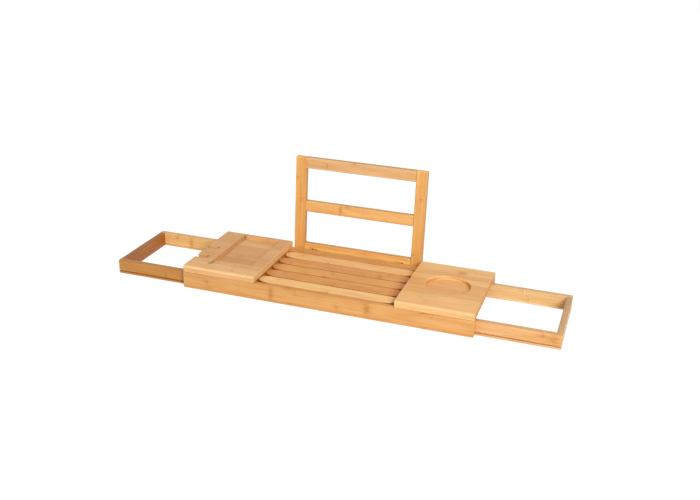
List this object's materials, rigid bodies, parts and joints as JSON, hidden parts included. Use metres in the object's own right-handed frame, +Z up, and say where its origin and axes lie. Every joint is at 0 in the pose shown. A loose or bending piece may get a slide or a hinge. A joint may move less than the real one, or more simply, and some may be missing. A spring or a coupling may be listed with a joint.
{
  "type": "bath caddy",
  "caption": "Bamboo bath caddy with a slatted tray, end decks for a phone, glasses and a mug, sliding arms that reach both rims and a fold-flat book rest.",
  "frame": {"origin": "middle of the whole caddy's box, on the plane that its rails and arms stand on", "axes": "+X along the tray towards the deck with the round recess, +Y from the open front to the book rest, +Z up"},
  "size_m": [0.966, 0.2477, 0.2486],
  "materials": {
    "aged_brass": "darkened brass",
    "arm_bamboo": "sealed bamboo, satin",
    "dark_slat_bamboo": "sealed bamboo, darker strip, satin",
    "deck_bamboo": "sealed bamboo, long lamination strips, satin",
    "pale_slat_bamboo": "sealed bamboo, pale strip, satin",
    "rail_bamboo": "sealed bamboo, long lamination strips, satin",
    "rest_bamboo": "sealed bamboo, satin"
  },
  "bodies": {
    "body": {"centre_batten": "rail_bamboo", "front_rail": "rail_bamboo", "front_runner": "rail_bamboo", "hinge_strip": "rail_bamboo", "left_deck": "deck_bamboo", "left_hinge_pin": "aged_brass", "left_rail_leaf": "aged_brass", "left_rail_leaf_inner_screw": "aged_brass", "left_rail_leaf_outer_screw": "aged_brass", "left_slat_cleat": "rail_bamboo", "left_slat_cleat_back_screw": "aged_brass", "left_slat_cleat_front_screw": "aged_brass", "left_stop_cleat": "rail_bamboo", "left_stop_cleat_back_screw": "aged_brass", "left_stop_cleat_front_screw": "aged_brass", "rear_rail": "rail_bamboo", "rear_runner": "rail_bamboo", "right_deck": "deck_bamboo", "right_hinge_pin": "aged_brass", "right_rail_leaf": "aged_brass", "right_rail_leaf_inner_screw": "aged_brass", "right_rail_leaf_outer_screw": "aged_brass", "right_slat_cleat": "rail_bamboo", "right_slat_cleat_back_screw": "aged_brass", "right_slat_cleat_front_screw": "aged_brass", "right_stop_cleat": "rail_bamboo", "right_stop_cleat_back_screw": "aged_brass", "right_stop_cleat_front_screw": "aged_brass", "slat_1": "pale_slat_bamboo", "slat_2": "dark_slat_bamboo", "slat_3": "dark_slat_bamboo", "slat_4": "dark_slat_bamboo", "slat_5": "pale_slat_bamboo"},
    "left_arm": {"left_arm_end": "arm_bamboo", "left_arm_front": "arm_bamboo", "left_arm_rear": "arm_bamboo", "left_front_stop_pin": "arm_bamboo", "left_rear_stop_pin": "arm_bamboo"},
    "right_arm": {"right_arm_end": "arm_bamboo", "right_arm_front": "arm_bamboo", "right_arm_rear": "arm_bamboo", "right_front_stop_pin": "arm_bamboo", "right_rear_stop_pin": "arm_bamboo"},
    "book_rest": {"left_rest_leaf": "aged_brass", "left_rest_leaf_inner_screw": "aged_brass", "left_rest_leaf_outer_screw": "aged_brass", "rest_bottom_rail": "rest_bamboo", "rest_left_stile": "rest_bamboo", "rest_middle_rail": "rest_bamboo", "rest_right_stile": "rest_bamboo", "rest_top_rail": "rest_bamboo", "right_rest_leaf": "aged_brass", "right_rest_leaf_inner_screw": "aged_brass", "right_rest_leaf_outer_screw": "aged_brass"}
  },
  "joints": [
    {"name": "left_arm_slide", "type": "slide", "parent": "body", "child": "left_arm", "axis": [1, 0, 0], "range_m": [0, 0.166]},
    {"name": "right_arm_slide", "type": "slide", "parent": "body", "child": "right_arm", "axis": [-1, 0, 0], "range_m": [0, 0.166]},
    {"name": "book_rest_hinge", "type": "hinge", "parent": "body", "child": "book_rest", "pos_m": [0, 0.09812, 0.036], "axis": [1, 0, 0], "range_deg": [0, 93.2]}
  ]
}
